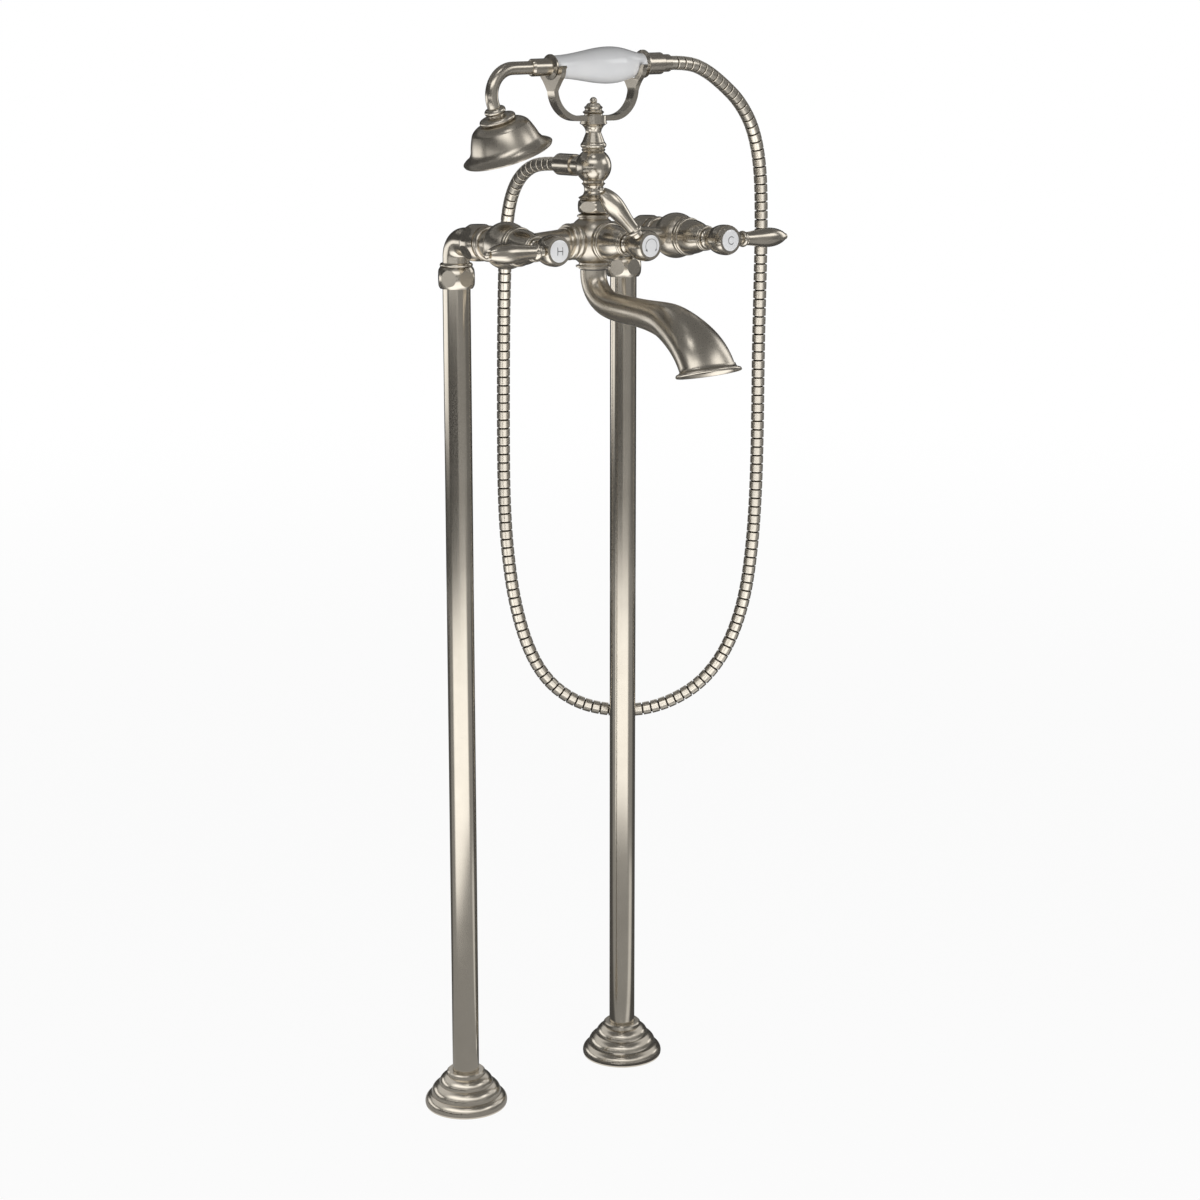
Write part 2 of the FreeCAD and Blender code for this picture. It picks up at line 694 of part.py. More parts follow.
def manifold_body():
    """Ball with necks on the vertical axis, arm collars along X and the diverter's rim to the front."""
    root = manifold_neck_radius
    level = math.sqrt(manifold_radius ** 2 - root ** 2)
    spigot_top = manifold_top + riser_spigot_length
    shape = turned(
        [(0, -manifold_bottom), (root, -manifold_bottom)]
        + edged_flange(manifold_bottom_flange_radius, root, -manifold_bottom_flange_height)
        + [(root, -level), (manifold_radius, 0, root, level)]
        + edged_flange(manifold_top_flange_radius, root, manifold_top_flange_height)
        + [(riser_spigot_radius, manifold_top), (riser_spigot_radius, spigot_top), (0, spigot_top)])
    shape = shifted(shape, 0, -body_reach, body_height)
    inner = math.sqrt(manifold_radius ** 2 - manifold_collar_step_radius ** 2)
    groove = (manifold_collar_step_radius + manifold_collar_radius) / 2
    span = manifold_collar_end - inner
    a, b, c, d = [inner + share * span for share in manifold_collar_shares]
    collar = turned([
        (0, 0), (groove, 0), (groove, a),
        (manifold_collar_radius, (a + b) / 2, groove, b), (groove, c),
        (manifold_collar_radius, (c + d) / 2, groove, d),
        (manifold_collar_step_radius, d), (manifold_collar_step_radius, manifold_collar_end),
        (0, manifold_collar_end),
    ])
    centre = Vector(0, -body_reach, body_height)
    collars = [moved(collar, Placement(centre, Rotation(back, 90 * side))) for side in sides.values()]
    rim = on_valve(rod(diverter_rim_radius, body_reach, diverter_face), 0)
    shape = shape.fuse(collars + [rim])
    socket = manifold_collar_end - arm_spigot_length
    front = rod(manifold_radius, diverter_face, body_reach + manifold_radius + overrun)
    cuts = [on_valve(bonnet_bores(diverter_face).fuse(front), 0)]
    for side in sides.values():
        place = Placement(centre, Rotation(back, 90 * side))
        bore = rod(arm_spigot_radius + fit_gap, socket - fit_gap, manifold_collar_end + overrun)
        cuts.append(moved(bore.fuse(rod(arm_bore_radius, 0, socket)), place))
    ceiling = spout_spigot_length - manifold_bottom
    spout_socket = rod(spout_spigot_radius + fit_gap, -manifold_bottom - overrun, ceiling)
    water = rod(post_bore_radius, -manifold_bottom, spigot_top + overrun)
    cuts.append(moved(spout_socket.fuse(water), Placement(centre, Rotation())))
    return shape.cut(cuts).removeSplitter()


def riser_nut():
    lip = (post_foot_radius + fit_gap, 0, riser_nut_length + overrun)
    thread = (riser_spigot_radius + fit_gap, -overrun, riser_nut_length - riser_nut_lip)
    nut = hex_nut(riser_nut_flats, riser_nut_crown_radius, riser_nut_end_radius, riser_nut_length,
                  [lip, thread])
    return shifted(nut, 0, -body_reach, riser_nut_base)


def riser_washer():
    low = riser_nut_base + riser_spigot_length
    return on_post(tube(riser_spigot_radius, post_bore_radius, low, low + riser_washer_thickness))


def spout_gasket():
    top = body_height - manifold_bottom
    return on_post(tube(spout_neck_radius, spout_spigot_radius + fit_gap, top - spout_gasket_thickness, top))


def post():
    """Turned post with a hollow ball, an outlet boss at the back and a stud for the cradle."""
    foot = riser_nut_base + riser_spigot_length + riser_washer_thickness
    collar = post_base - riser_nut_lip
    waists = [shares * post_ball_radius for shares in (post_foot_shares[-1][-2], post_neck_waist_share)]
    start, end = [post_ball_height + sign * math.sqrt(post_ball_radius ** 2 - waist ** 2)
                  for sign, waist in zip((-1, 1), waists)]
    low = scaled(post_foot_shares, 0, post_ball_radius, post_base, start)
    high = scaled(post_neck_shares, 0, post_ball_radius, end, cradle_seat)
    tip = cradle_seat + post_stud_length
    shape = turned(
        [(0, foot), (riser_spigot_radius, foot), (riser_spigot_radius, collar), (post_foot_radius, collar),
         (post_foot_radius, low[0][1])]
        + low + [(waists[0], start), (post_ball_radius, post_ball_height, waists[1], end)] + high
        + [(post_stud_radius, cradle_seat), (post_stud_radius, tip), (0, tip)])
    boss = rod(outlet_boss_radius, 0, outlet_boss_reach)
    nipple = rod(hose_nipple_radius, 0, outlet_boss_reach + hose_nipple_length)
    shape = shape.fuse([behind_ball(boss), behind_ball(nipple)])
    water = rod(post_bore_radius, foot - overrun, post_ball_height)
    out = rod(hose_bore_radius, 0, outlet_boss_reach + hose_nipple_length + overrun)
    return on_post(shape.cut([water, behind_ball(out)]).removeSplitter())


def behind_ball(shape):
    """From an axis that starts in the ball and points to the back, to the post."""
    return moved(shape, Placement(Vector(0, 0, post_ball_height), Rotation(right, -90)))


def arc_band(inner, outer, width, angles):
    """Curved bar about Y: between two radii, over a range of angles from straight down towards +X."""
    ends = [math.radians(angle) for angle in angles]
    middle = sum(ends) / 2

    def at(radius, angle):
        return Vector(radius * math.sin(angle), -width / 2, -radius * math.cos(angle))
    a, b = ends
    edges = [Part.Arc(at(outer, a), at(outer, middle), at(outer, b)).toShape(),
             Part.makeLine(at(outer, b), at(inner, b)),
             Part.Arc(at(inner, b), at(inner, middle), at(inner, a)).toShape(),
             Part.makeLine(at(inner, a), at(outer, a))]
    return Part.Face(Part.Wire(edges)).extrude(Vector(0, width, 0))


def fork_gap():
    return grip_fork_share * grip_radius + slip_gap


def fork_height(side):
    """Level of a fork's centre: the front ferrule or the grip lies in the bottom of its gap."""
    seat = grip_fork_share * grip_radius if side > 0 else ferrule_flange_radius
    axis = handset_height + side * cradle_fork_x * math.tan(math.radians(handset_tilt))
    return axis - seat - slip_gap + fork_gap()


def cradle_arm_level():
    """Level of the arms' middle where they leave the disc."""
    return cradle_seat + cradle_disc_thickness - cradle_arm_thickness / 2


def cradle_arm_end():
    """Level of the arms' ends."""
    return cradle_arm_level() + cradle_arm_radius * (1 - math.cos(math.radians(cradle_arm_sweep)))


def cradle_fork(side):
    """Flat fork on the end of an arm, which widens from its stem to two prongs with tips that curl out."""
    gap = fork_gap()
    stem = cradle_arm_end() - cradle_arm_thickness / 2 - fork_height(side)
    outline = [(0, stem), (cradle_arm_width / 2, stem)] + scaled(cradle_fork_shares, 0, gap, 0, gap)
    half = flat_face(outline).extrude(Vector(0, cradle_fork_width, 0))
    half = shifted(half, 0, -cradle_fork_width / 2, 0)
    fork = half.fuse(half.mirror(origin, right)).removeSplitter()
    return moved(fork, Placement(Vector(side * cradle_fork_x, 0, fork_height(side)), Rotation(up, 90)))


def cradle():
    """Disc on the post's stud, two curved arms and a fork at the end of each."""
    top = cradle_seat + cradle_disc_thickness
    half = cradle_arm_thickness / 2
    level = cradle_arm_level()
    pieces = [rod(cradle_disc_radius, cradle_seat, top)]
    straight = cradle_fork_x - cradle_arm_radius
    bar = Vector(-straight, -cradle_arm_width / 2, level - half)
    pieces.append(Part.makeBox(2 * straight, cradle_arm_width, cradle_arm_thickness, bar))
    for side in (-1, 1):
        angles = (0, cradle_arm_sweep) if side > 0 else (-cradle_arm_sweep, 0)
        arm = arc_band(cradle_arm_radius - half, cradle_arm_radius + half, cradle_arm_width, angles)
        pieces.append(shifted(arm, side * straight, 0, level + cradle_arm_radius))
        pieces.append(cradle_fork(side))
    shape = pieces[0].fuse(pieces[1:])
    hole = rod(post_stud_radius + fit_gap, cradle_seat - overrun, top + overrun)
    return on_post(shape.cut(hole).removeSplitter())


def finial():
    base = cradle_seat + cradle_disc_thickness
    outside = scaled(finial_outline_shares, 0, finial_radius, base, base + finial_height)
    top = base + finial_height
    shape = turned([(0, base)] + outside + [cap(outside[-1][-2], outside[-1][-1], top)])
    stud = rod(post_stud_radius + fit_gap, base - overrun, cradle_seat + post_stud_length + fit_gap)
    return on_post(shape.cut(stud))


def spout_top():
    return body_height - manifold_bottom - spout_gasket_thickness


def oval(width, depth, place, turn):
    """Oval section, wide along X, on a plane that is square to a run turned forward from straight down."""
    edge = Part.Ellipse(origin, max(width, depth), depth).toShape()
    edge.Placement = Placement(place, Rotation(right, 180 - turn))
    return Part.Wire(edge)


def spout_sections(inset):
    """Sections along the spout, square to its run, smaller than the outside by the inset."""
    wires = []
    for reach, drop, turn, wide, deep in spout_station_shares:
        width = spout_neck_radius + wide * (spout_mouth_width - spout_neck_radius) - inset
        depth = spout_neck_radius + deep * (spout_mouth_depth - spout_neck_radius) - inset
        place = Vector(0, -body_reach - reach * spout_reach, spout_top() - drop * spout_drop)
        wires.append(oval(width, depth, place, turn))
    return wires


def spout_flare(shares, inset, grow):
    """Flared form at the mouth: growth and rise shares, from the lip's start to the mouth's plane."""
    turn = math.radians(spout_end_turn)
    out = Vector(0, -math.sin(turn), -math.cos(turn))
    mouth = Vector(0, -body_reach - spout_reach, spout_top() - spout_drop)
    wires = []
    for flare, rise in shares:
        more = flare * grow - inset
        place = mouth - out * (spout_lip_length * (1 - rise))
        wires.append(oval(spout_mouth_width + more, spout_mouth_depth + more, place, spout_end_turn))
    return Part.makeLoft(wires, True, False)


def spout():
    """Curved trumpet with a flared lip, and the spigot that screws into the manifold."""
    shape = Part.makeLoft(spout_sections(0), True, False)
    spigot = on_post(rod(spout_spigot_radius, spout_top() - overrun, spout_top() + spout_spigot_length))
    shape = shape.fuse([spout_flare(spout_lip_shares, 0, spout_lip_flare), spigot])
    hollow = Part.makeLoft(spout_sections(spout_wall)[1:], True, False)
    throat = rod(spout_spigot_bore, spout_top() - spout_drop * spout_station_shares[2][1],
                 spout_top() + spout_spigot_length + overrun)
    edge = spout_flare(spout_edge_shares, spout_wall, spout_edge_flare)
    return shape.cut([hollow, edge, on_post(throat)])


def handset_grip():
    """Glazed grip that swells towards the hose end, with the neck tube through it."""
    outline = scaled(grip_outline_shares, 0, grip_radius, grip_front, grip_rear)
    bore = neck_radius + slip_gap
    return on_handset(turned_edges([curve_through(outline)], [(bore, grip_rear), (bore, grip_front)]))


def rear_ferrule_end():
    return grip_rear + rear_ferrule_length


def handset_neck():
    """One tube from the rear ferrule through the grip, round the bend and into the shower head."""
    bore = neck_radius - neck_wall
    end = rear_ferrule_end() - rear_flange_length

    def run(radius):
        straight = rod(radius, neck_bend_start, end)
        section = Part.Face(Part.Wire(Part.makeCircle(radius, Vector(0, 0, neck_bend_start), up)))
        bend = section.revolve(Vector(neck_bend, 0, neck_bend_start), -back, neck_turn)
        return on_handset(straight.fuse(bend)).fuse(on_head(rod(radius, -neck_drop, neck_tail)))
    return run(neck_radius).cut(run(bore)).removeSplitter()


def front_ferrule():
    """Edged flange against the grip, a sleeve, and a rounded end on the neck."""
    bore = neck_radius + fit_gap
    flange = grip_front - ferrule_flange_length
    end = grip_front - ferrule_length
    round_start = end + ferrule_radius - neck_radius
    return on_handset(turned([
        (bore, grip_front), (ferrule_radius, grip_front),
        (ferrule_flange_radius, grip_front - flange_edge),
        (ferrule_flange_radius, grip_front - 2 * flange_edge),
        (ferrule_radius, flange), (ferrule_radius, round_start),
        (ferrule_radius - flange_edge / 2, (round_start + end) / 2, neck_radius + flange_edge / 2, end),
        (bore, end),
    ]))


def rear_ferrule():
    """Edged flange against the grip, a sleeve, and the nipple for the hose."""
    bore = neck_radius + fit_gap
    stop = rear_ferrule_end() - rear_flange_length
    end = rear_ferrule_end()
    flange = grip_rear + rear_flange_length
    tail = end + hose_nipple_length
    return on_handset(turned([
        (bore, grip_rear), (rear_ferrule_radius, grip_rear),
        (rear_flange_radius, grip_rear + flange_edge), (rear_flange_radius, grip_rear + 2 * flange_edge),
        (rear_ferrule_radius, flange), (rear_ferrule_radius, end),
        (hose_nipple_radius, end), (hose_nipple_radius, tail),
        (hose_bore_radius, tail), (hose_bore_radius, stop), (bore, stop),
    ]))


def head_collar():
    """Bead round the neck's end, with a small foot on the bell."""
    bore = neck_radius + fit_gap
    edge = neck_radius + flange_edge
    bead = head_collar_length - flange_edge
    return on_head(turned([
        (bore, 0), (edge, 0), (head_collar_radius, bead / 2, edge, bead),
        (edge, head_collar_length), (bore, head_collar_length),
    ]))


def bell_end():
    return head_collar_length + bell_length


def bell_seat():
    return head_collar_length + bell_seat_share * bell_length


def plate_radius():
    return bell_radius - 3 * bell_wall


def shower_bell():
    """Stepped flange and bell shell, recessed at its mouth for the spray plate."""
    outside = scaled(bell_outline_shares, 0, bell_radius, head_collar_length, bell_end())
    hollow = scaled(bell_hollow_shares, 0, bell_radius, head_collar_length, bell_end())
    bore = neck_radius + fit_gap
    recess = plate_radius() + fit_gap
    inside = turned([(0, hollow[0][1])] + hollow + [(hollow[-1][0], bell_end()), (0, bell_end())])
    cuts = [rod(bore, 0, bell_end()), inside, rod(recess, bell_seat(), bell_end() + overrun)]
    return on_head(turned([(0, head_collar_length)] + outside + [(0, bell_end())]).cut(cuts))


def spray_plate():
    low = bell_seat()
    plate = rod(plate_radius(), low, low + plate_thickness)
    holes = [shifted(rod(nozzle_radius + fit_gap, low - overrun, low + plate_thickness + overrun), x, y, 0)
             for x, y in ring_places(nozzle_ring_counts, nozzle_ring_pitch)]
    return on_head(plate.cut(holes))


def spray_nozzles():
    low = bell_seat()
    high = low + plate_thickness
    tip = high + nozzle_height
    nozzle = turned([(nozzle_radius / 2, low), (nozzle_radius, low), (nozzle_radius, high),
                     (nozzle_radius * nozzle_tip_share, tip), (nozzle_radius / 2, tip)])
    places = ring_places(nozzle_ring_counts, nozzle_ring_pitch)
    return on_head(group([shifted(nozzle, x, y, 0) for x, y in places]))


def hose_inlet_nut():
    """Nut on the ball's outlet, with a chamfered end that the hose meets square."""
    start = outlet_boss_reach
    seat = start + hose_nipple_length + hose_washer_thickness
    end = start + inlet_nut_length
    chamfer = end - (hose_nut_radius - inlet_nut_end_radius)
    nut = turned([(hose_nipple_radius + fit_gap, start), (hose_nut_radius, start), (hose_nut_radius, chamfer),
                  (inlet_nut_end_radius, end), (hose_bore_radius, end), (hose_bore_radius, seat),
                  (hose_nipple_radius + fit_gap, seat)])
    return on_post(behind_ball(nut))


def hose_inlet_washer():
    low = outlet_boss_reach + hose_nipple_length
    return on_post(behind_ball(tube(hose_nipple_radius, hose_bore_radius, low, low + hose_washer_thickness)))


def hose_outlet_nut():
    """Nut on the hand shower's nipple, stepped down to the hose."""
    start = rear_ferrule_end()
    seat = start + hose_nipple_length + hose_washer_thickness
    end = start + outlet_nut_length
    step = start + outlet_nut_step_share * outlet_nut_length
    taper = step + hose_nut_radius - outlet_nut_end_radius
    return on_handset(turned([
        (hose_nipple_radius + fit_gap, start), (rear_ferrule_radius, start), (rear_ferrule_radius, step),
        (outlet_nut_end_radius, taper), (outlet_nut_end_radius, end), (hose_bore_radius, end),
        (hose_bore_radius, seat), (hose_nipple_radius + fit_gap, seat),
    ]))


def hose_outlet_washer():
    low = rear_ferrule_end() + hose_nipple_length
    return on_handset(tube(hose_nipple_radius, hose_bore_radius, low, low + hose_washer_thickness))


def hose_ends():
    """End of each hose nut and the direction in which the hose leaves it."""
    inlet = Vector(0, outlet_boss_reach + inlet_nut_length - body_reach, post_ball_height)
    tilt = math.radians(handset_tilt)
    aim = Vector(math.cos(tilt), 0, math.sin(tilt))
    outlet = Vector(0, -body_reach, handset_height) + aim * (rear_ferrule_end() + outlet_nut_length)
    return (inlet, back), (outlet, aim)


def hose_runs():
    """Straight runs joined by tangent arcs, each a list of (length, start, direction, arc normal, radius)."""
    (inlet, leave), (outlet, arrive) = hose_ends()
    points = [inlet, inlet + leave * hose_end_run]
    points += [inlet + Vector(*place) for place in hose_route]
    points += [outlet + arrive * hose_end_run, outlet]
    runs = []
    radii = []
    here = points[0]
    for before, corner, after in zip(points, points[1:], points[2:]):
        into = (corner - before).normalize()
        out = (after - corner).normalize()
        turn = into.getAngle(out)
        trim = hose_arc_share * min(before.distanceToPoint(corner), corner.distanceToPoint(after))
        radius = trim / math.tan(turn / 2)
        radii.append(radius)
        stop = corner - into * trim
        runs.append((here.distanceToPoint(stop), here, into, None, 0))
        runs.append((radius * turn, stop, into, into.cross(out).normalize(), radius))
        here = corner + out * trim
    runs.append((here.distanceToPoint(points[-1]), here, out, None, 0))
    print("hose bend radii", [round(radius) for radius in radii])
    return runs


def along_runs(runs, distance):
    """Point and direction at a distance along the runs."""
    for length, start, aim, normal, radius in runs[:-1]:
        if distance <= length:
            break
        distance -= length
    else:
        length, start, aim, normal, radius = runs[-1]
    if normal is None:
        return start + aim * distance, aim
    turn = distance / radius
    inward = normal.cross(aim)
    place = start + aim * (radius * math.sin(turn)) + inward * (radius * (1 - math.cos(turn)))
    return place, aim * math.cos(turn) + inward * math.sin(turn)


def hose():
    """Ribbed hose with its bore: ruled skins through circles that keep one X axis along the route."""
    runs = hose_runs()
    total = sum(run[0] for run in runs)
    count = round(total / hose_rib_pitch)
    pitch = total / count

    def ring(distance, radius):
        place, aim = along_runs(runs, distance)
        circle = Part.makeCircle(radius)
        circle.Placement = Placement(place, Rotation(hose_side, Vector(), aim, "ZXY"))
        return Part.Wire(circle)
    crests = (hose_groove_radius, hose_radius, hose_radius, hose_groove_radius)
    places = [((i + share) * pitch, radius)
              for i in range(count) for share, radius in zip(hose_rib_shares, crests)]
    places.append((total, hose_groove_radius))
    outer = [ring(distance, radius) for distance, radius in places]
    inner = [ring(i * pitch / 2, hose_bore_radius) for i in range(2 * count + 1)]
    skin = [face for wires in (outer, inner) for pair in zip(wires, wires[1:])
            for face in Part.makeLoft(list(pair), False, True).Faces]
    ends = [Part.makeFace([outer[i], inner[i]], "Part::FaceMakerBullseye") for i in (0, -1)]
    shell = Part.makeShell(skin + ends)
    shell.sewShape()
    solid = Part.Solid(shell)
    if solid.Volume < 0:
        solid.reverse()
    centres = [along_runs(runs, i * pitch)[0] for i in range(count + 1)]
    apart = round(4 * math.pi * hose_radius / pitch)
    gaps = [a.distanceToPoint(b) - 2 * hose_radius
            for i, a in enumerate(centres) for b in centres[i + apart:]]
    plain = math.pi * (hose_groove_radius ** 2 - hose_bore_radius ** 2) * total
    print("hose length", round(total), "ribs", count, "least gap to itself", round(min(gaps), 1))
    print("hose volume", round(solid.Volume), "plain tube of its grooves", round(plain), solid.isValid())
    return solid


def side_nodes(name, side):
    """Pieces of one supply leg and its valve."""
    x = side * leg_x
    angle = 0 if side > 0 else 180
    return {
        f"{name}_floor_flange": shifted(floor_flange(), x, 0, 0),
        f"{name}_floor_escutcheon": shifted(escutcheon(), x, 0, 0),
        f"{name}_supply_leg": shifted(supply_leg(), x, 0, 0),
        f"{name}_leg_nut": shifted(union_nut(leg_radius), x, 0, leg_nut_base),
        f"{name}_elbow": shifted(elbow(), x, 0, 0),
        f"{name}_arm_nut": on_valve(shifted(union_nut(elbow_radius), 0, 0, arm_nut_start), x),
        f"{name}_valve_body": on_valve(valve_body(side), x),
        f"{name}_cartridge": on_valve(cartridge(valve_face, 1), x),
        f"{name}_bonnet": on_valve(bonnet(valve_face), x),
        f"{name}_stem": on_valve(stem(valve_face), x),
        f"{name}_handle_hub": on_valve(handle_hub(valve_face, angle), x),
        f"{name}_lever": on_valve(lever(valve_face, angle), x),
        f"{name}_handle_screw": on_valve(handle_screw(valve_face), x),
        f"{name}_index_disc": on_valve(index_disc(valve_face), x),
    }


def shared_nodes():
    """Like seals of both sides, each kind in one node."""
    xs = [side * leg_x for side in sides.values()]
    return {
        "escutcheon_o_rings": group([shifted(o_ring(), x, 0, 0) for x in xs]),
        "union_washers": group([shifted(union_washer(), x, 0, leg_nut_base) for x in xs]
                               + [on_valve(shifted(union_washer(), 0, 0, arm_nut_start), x) for x in xs]),
        "cartridge_seals": group([on_valve(cartridge_seal(), x) for x in xs + [0]]),
    }


def centre_nodes():
    """Pieces on the middle axis: manifold, diverter, spout, post and cradle."""
    return {
        "manifold_body": manifold_body(),
        "diverter_cartridge": on_valve(cartridge(diverter_face, 2), 0),
        "diverter_bonnet": on_valve(bonnet(diverter_face), 0),
        "diverter_stem": on_valve(stem(diverter_face), 0),
        "diverter_handle_hub": on_valve(handle_hub(diverter_face, diverter_angle), 0),
        "diverter_lever": on_valve(lever(diverter_face, diverter_angle), 0),
        "diverter_handle_screw": on_valve(handle_screw(diverter_face), 0),
        "diverter_index_disc": on_valve(index_disc(diverter_face), 0),
        "spout": spout(),
        "spout_gasket": spout_gasket(),
        "riser_nut": riser_nut(),
        "riser_washer": riser_washer(),
        "cradle_post": post(),
        "cradle": cradle(),
        "cradle_finial": finial(),
    }


def handset_nodes():
    """Hand shower, hose and what joins them."""
    return {
        "handset_grip": handset_grip(),
        "handset_neck": handset_neck(),
        "handset_front_ferrule": front_ferrule(),
        "handset_rear_ferrule": rear_ferrule(),
        "head_collar": head_collar(),
        "shower_bell": shower_bell(),
        "spray_plate": spray_plate(),
        "spray_nozzles": spray_nozzles(),
        "hose_inlet_nut": hose_inlet_nut(),
        "hose_inlet_washer": hose_inlet_washer(),
        "hose_outlet_nut": hose_outlet_nut(),
        "hose_outlet_washer": hose_outlet_washer(),
        "hose": hose(),
    }


nodes = {}
for side_name, side_sign in sides.items():
    nodes.update(side_nodes(side_name, side_sign))
nodes.update(shared_nodes())
nodes.update(centre_nodes())
nodes.update(handset_nodes())

os.makedirs("parts", exist_ok=True)
for node_name, shape in nodes.items():
    shape.exportStep(f"parts/{node_name}.step")
print(len(nodes), "nodes")
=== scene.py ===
"""Tub filler: finishes, ribbed hose, index marks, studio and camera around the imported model."""

import math

import bpy
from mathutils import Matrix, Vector


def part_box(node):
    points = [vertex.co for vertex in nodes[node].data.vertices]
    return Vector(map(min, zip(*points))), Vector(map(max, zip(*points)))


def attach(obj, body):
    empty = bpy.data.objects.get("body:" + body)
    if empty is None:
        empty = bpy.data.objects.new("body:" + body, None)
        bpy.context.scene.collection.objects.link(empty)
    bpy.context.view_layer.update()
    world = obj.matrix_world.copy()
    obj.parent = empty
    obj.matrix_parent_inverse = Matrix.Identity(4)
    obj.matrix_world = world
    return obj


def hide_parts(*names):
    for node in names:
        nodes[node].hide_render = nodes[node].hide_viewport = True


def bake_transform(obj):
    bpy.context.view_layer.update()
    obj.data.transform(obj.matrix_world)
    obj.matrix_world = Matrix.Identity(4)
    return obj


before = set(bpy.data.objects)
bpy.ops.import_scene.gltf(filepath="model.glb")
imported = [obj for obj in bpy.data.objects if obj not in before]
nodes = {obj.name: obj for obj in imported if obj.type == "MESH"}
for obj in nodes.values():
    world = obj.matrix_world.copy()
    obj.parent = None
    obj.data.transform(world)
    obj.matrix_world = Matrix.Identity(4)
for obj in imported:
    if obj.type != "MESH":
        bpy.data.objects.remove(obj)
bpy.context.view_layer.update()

# Camera, in metres and degrees: seen from the front left, a little above the handles
camera_place = (-1.3962, -1.8797, 1.0555)
camera_yaw = 37.99
camera_pitch = 11.62
camera_lens = 71.66
camera_sensor = 36.0
camera_shift = -0.05

# Hose, in metres: the route's points from the nut behind the post's ball to the hand shower's nut
hose_route = (
    (0.0, -0.027, 0.9472), (0.0, -0.002, 0.9472),
    (0.0010, 0.0229, 0.9416), (0.0040, 0.0475, 0.9267), (0.0080, 0.0662, 0.9020),
    (0.0125, 0.0780, 0.8660), (0.0170, 0.0878, 0.8110), (0.0205, 0.0948, 0.7330),
    (0.0223, 0.0983, 0.6550), (0.0232, 0.0992, 0.6000), (0.0254, 0.0979, 0.5480),
    (0.0312, 0.0938, 0.4900), (0.0425, 0.0854, 0.4380), (0.0589, 0.0734, 0.4025),
    (0.0827, 0.0560, 0.3800), (0.1100, 0.0361, 0.3710), (0.1410, 0.0134, 0.3710),
    (0.1687, -0.0068, 0.3825), (0.1933, -0.0248, 0.4040), (0.2130, -0.0392, 0.4400),
    (0.2262, -0.0488, 0.4900), (0.2320, -0.0531, 0.5480), (0.2344, -0.0549, 0.6050),
    (0.2350, -0.0555, 0.6700), (0.2344, -0.0558, 0.7500), (0.2347, -0.0566, 0.8150),
    (0.2348, -0.0575, 0.8760), (0.2312, -0.0595, 0.9360), (0.2176, -0.0635, 0.9770),
    (0.1940, -0.0690, 1.0040), (0.1675, -0.0745, 1.0210), (0.1405, -0.0795, 1.0352),
    (0.11497, -0.082, 1.042809), (0.089977, -0.082, 1.042242),
)
hose_radius = 0.0067
hose_groove_radius = 0.0049
hose_rib_pitch = 0.0090
hose_segments = 40
hose_line_steps = 24
# One rib along its pitch: place share and crest share, from one groove to the next
hose_rib_shares = (
    (0.0, 0.0), (0.055, 0.0), (0.07, 0.60), (0.085, 0.90), (0.11, 0.98), (0.14, 1.0), (0.18, 1.0),
    (0.82, 1.0), (0.86, 1.0), (0.89, 0.98), (0.915, 0.90), (0.93, 0.60), (0.945, 0.0),
)

# Index marks, in metres and degrees; the arc's and the arrow's width are shares of the mark's
disc_dome = 0.0014
mark_lift = 0.00005
mark_width = 0.0007
letter_height = 0.0072
letter_width = 0.0056
letter_c_turns = (130, 410)
arc_radius = 0.0066
arc_opening = 62
arc_width_share = 0.7
arrow_length = 0.0023
arrow_width_share = 3
arrow_tip = 0.00005
arrow_steps = 6
line_steps = 8
arc_steps = 40

# Finishes: noise as scale and detail, dark and light tones, low and high roughness, bump as strength and
# height in metres. A noise's middle range is spread over tones and roughness; the hose's tones go by the
# crest share of its ribs, with painted shade darkening the grooves.
noise_roughness = 0.6
noise_middle = (0.3, 0.7)
tone_noise = (22.0, 3.0)
brushing_noise = (900.0, 4.0)
even_brushing = (1, 1, 1)
drawn_brushing = (1, 1, 0.01)
metal_bump = (0.0012, 0.0002)
nickel_tones = ((0.56, 0.512, 0.436), (0.62, 0.57, 0.488))
nickel_rough = (0.21, 0.23)
drawn_rough = (0.15, 0.17)
broad_rough = (0.27, 0.29)
brass_tones = ((0.62, 0.44, 0.18), (0.74, 0.55, 0.26))
brass_rough = (0.28, 0.42)
steel_tones = ((0.48, 0.48, 0.49), (0.58, 0.58, 0.60))
steel_rough = (0.24, 0.36)
hose_noise = (300.0, 2.0)
# Hose tones by crest share: the near-black groove tone and the mid flank tone are painted shade; the crest
# tone is the plating
hose_groove_shade_stops = ((0.0, (0.06, 0.054, 0.047)), (0.5, (0.34, 0.31, 0.265)), (0.75, (0.78, 0.72, 0.62)))
hose_rough = (0.25, 0.28)
hose_bump = (0.001, 0.0002)
glaze_noise = (35.0, 2.0)
glaze_tones = ((0.80, 0.805, 0.815), (0.85, 0.852, 0.855))
glaze_rough = (0.10, 0.16)
glaze_wave = (60.0, 1.0)
glaze_bump = (0.01, 0.0006)
glaze_depth = 0.002
rubber_noise = (1500.0, 3.0)
rubber_tones = ((0.030, 0.030, 0.032), (0.055, 0.055, 0.058))
rubber_rough = (0.55, 0.72)
rubber_bump = (0.1, 0.0002)
ink_noise = (2500.0, 2.0)
ink_tones = ((0.06, 0.06, 0.065), (0.10, 0.10, 0.105))
ink_rough = (0.25, 0.35)

